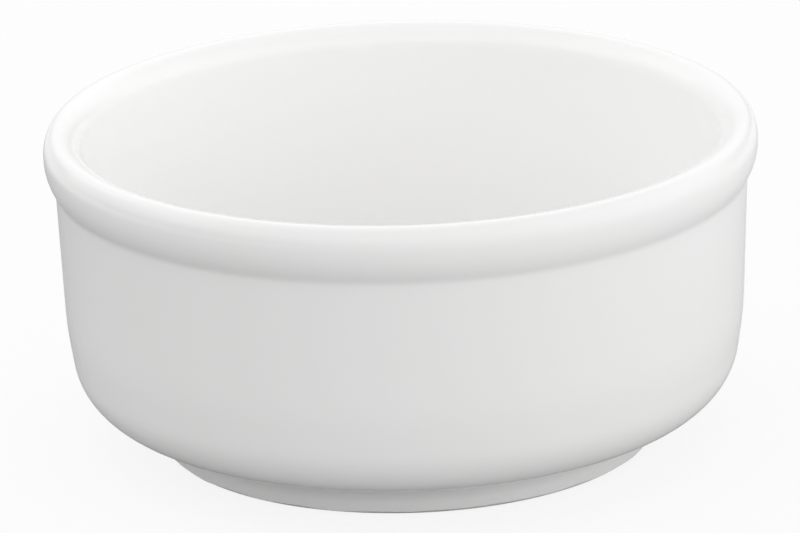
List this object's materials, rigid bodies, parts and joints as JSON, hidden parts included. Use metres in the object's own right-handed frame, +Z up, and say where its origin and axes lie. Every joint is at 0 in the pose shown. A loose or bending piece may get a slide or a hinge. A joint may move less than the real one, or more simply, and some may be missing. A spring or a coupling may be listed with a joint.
{
  "type": "katori bowl",
  "caption": "Small round serving bowl in white glazed porcelain, with a rolled rim, a nearly upright wall, a rounded belly and a low foot ring.",
  "frame": {"origin": "centre of the foot ring, on the surface that the bowl stands on", "axes": "+Z up along the bowl's axis of revolution; +X and +Y are any two directions across it"},
  "size_m": [0.1, 0.1, 0.046],
  "materials": {
    "clay": "matte",
    "glaze": "gloss"
  },
  "bodies": {
    "root": {"clay_body": "clay", "glaze_coat": "glaze", "base_glaze": "glaze"}
  },
  "joints": []
}
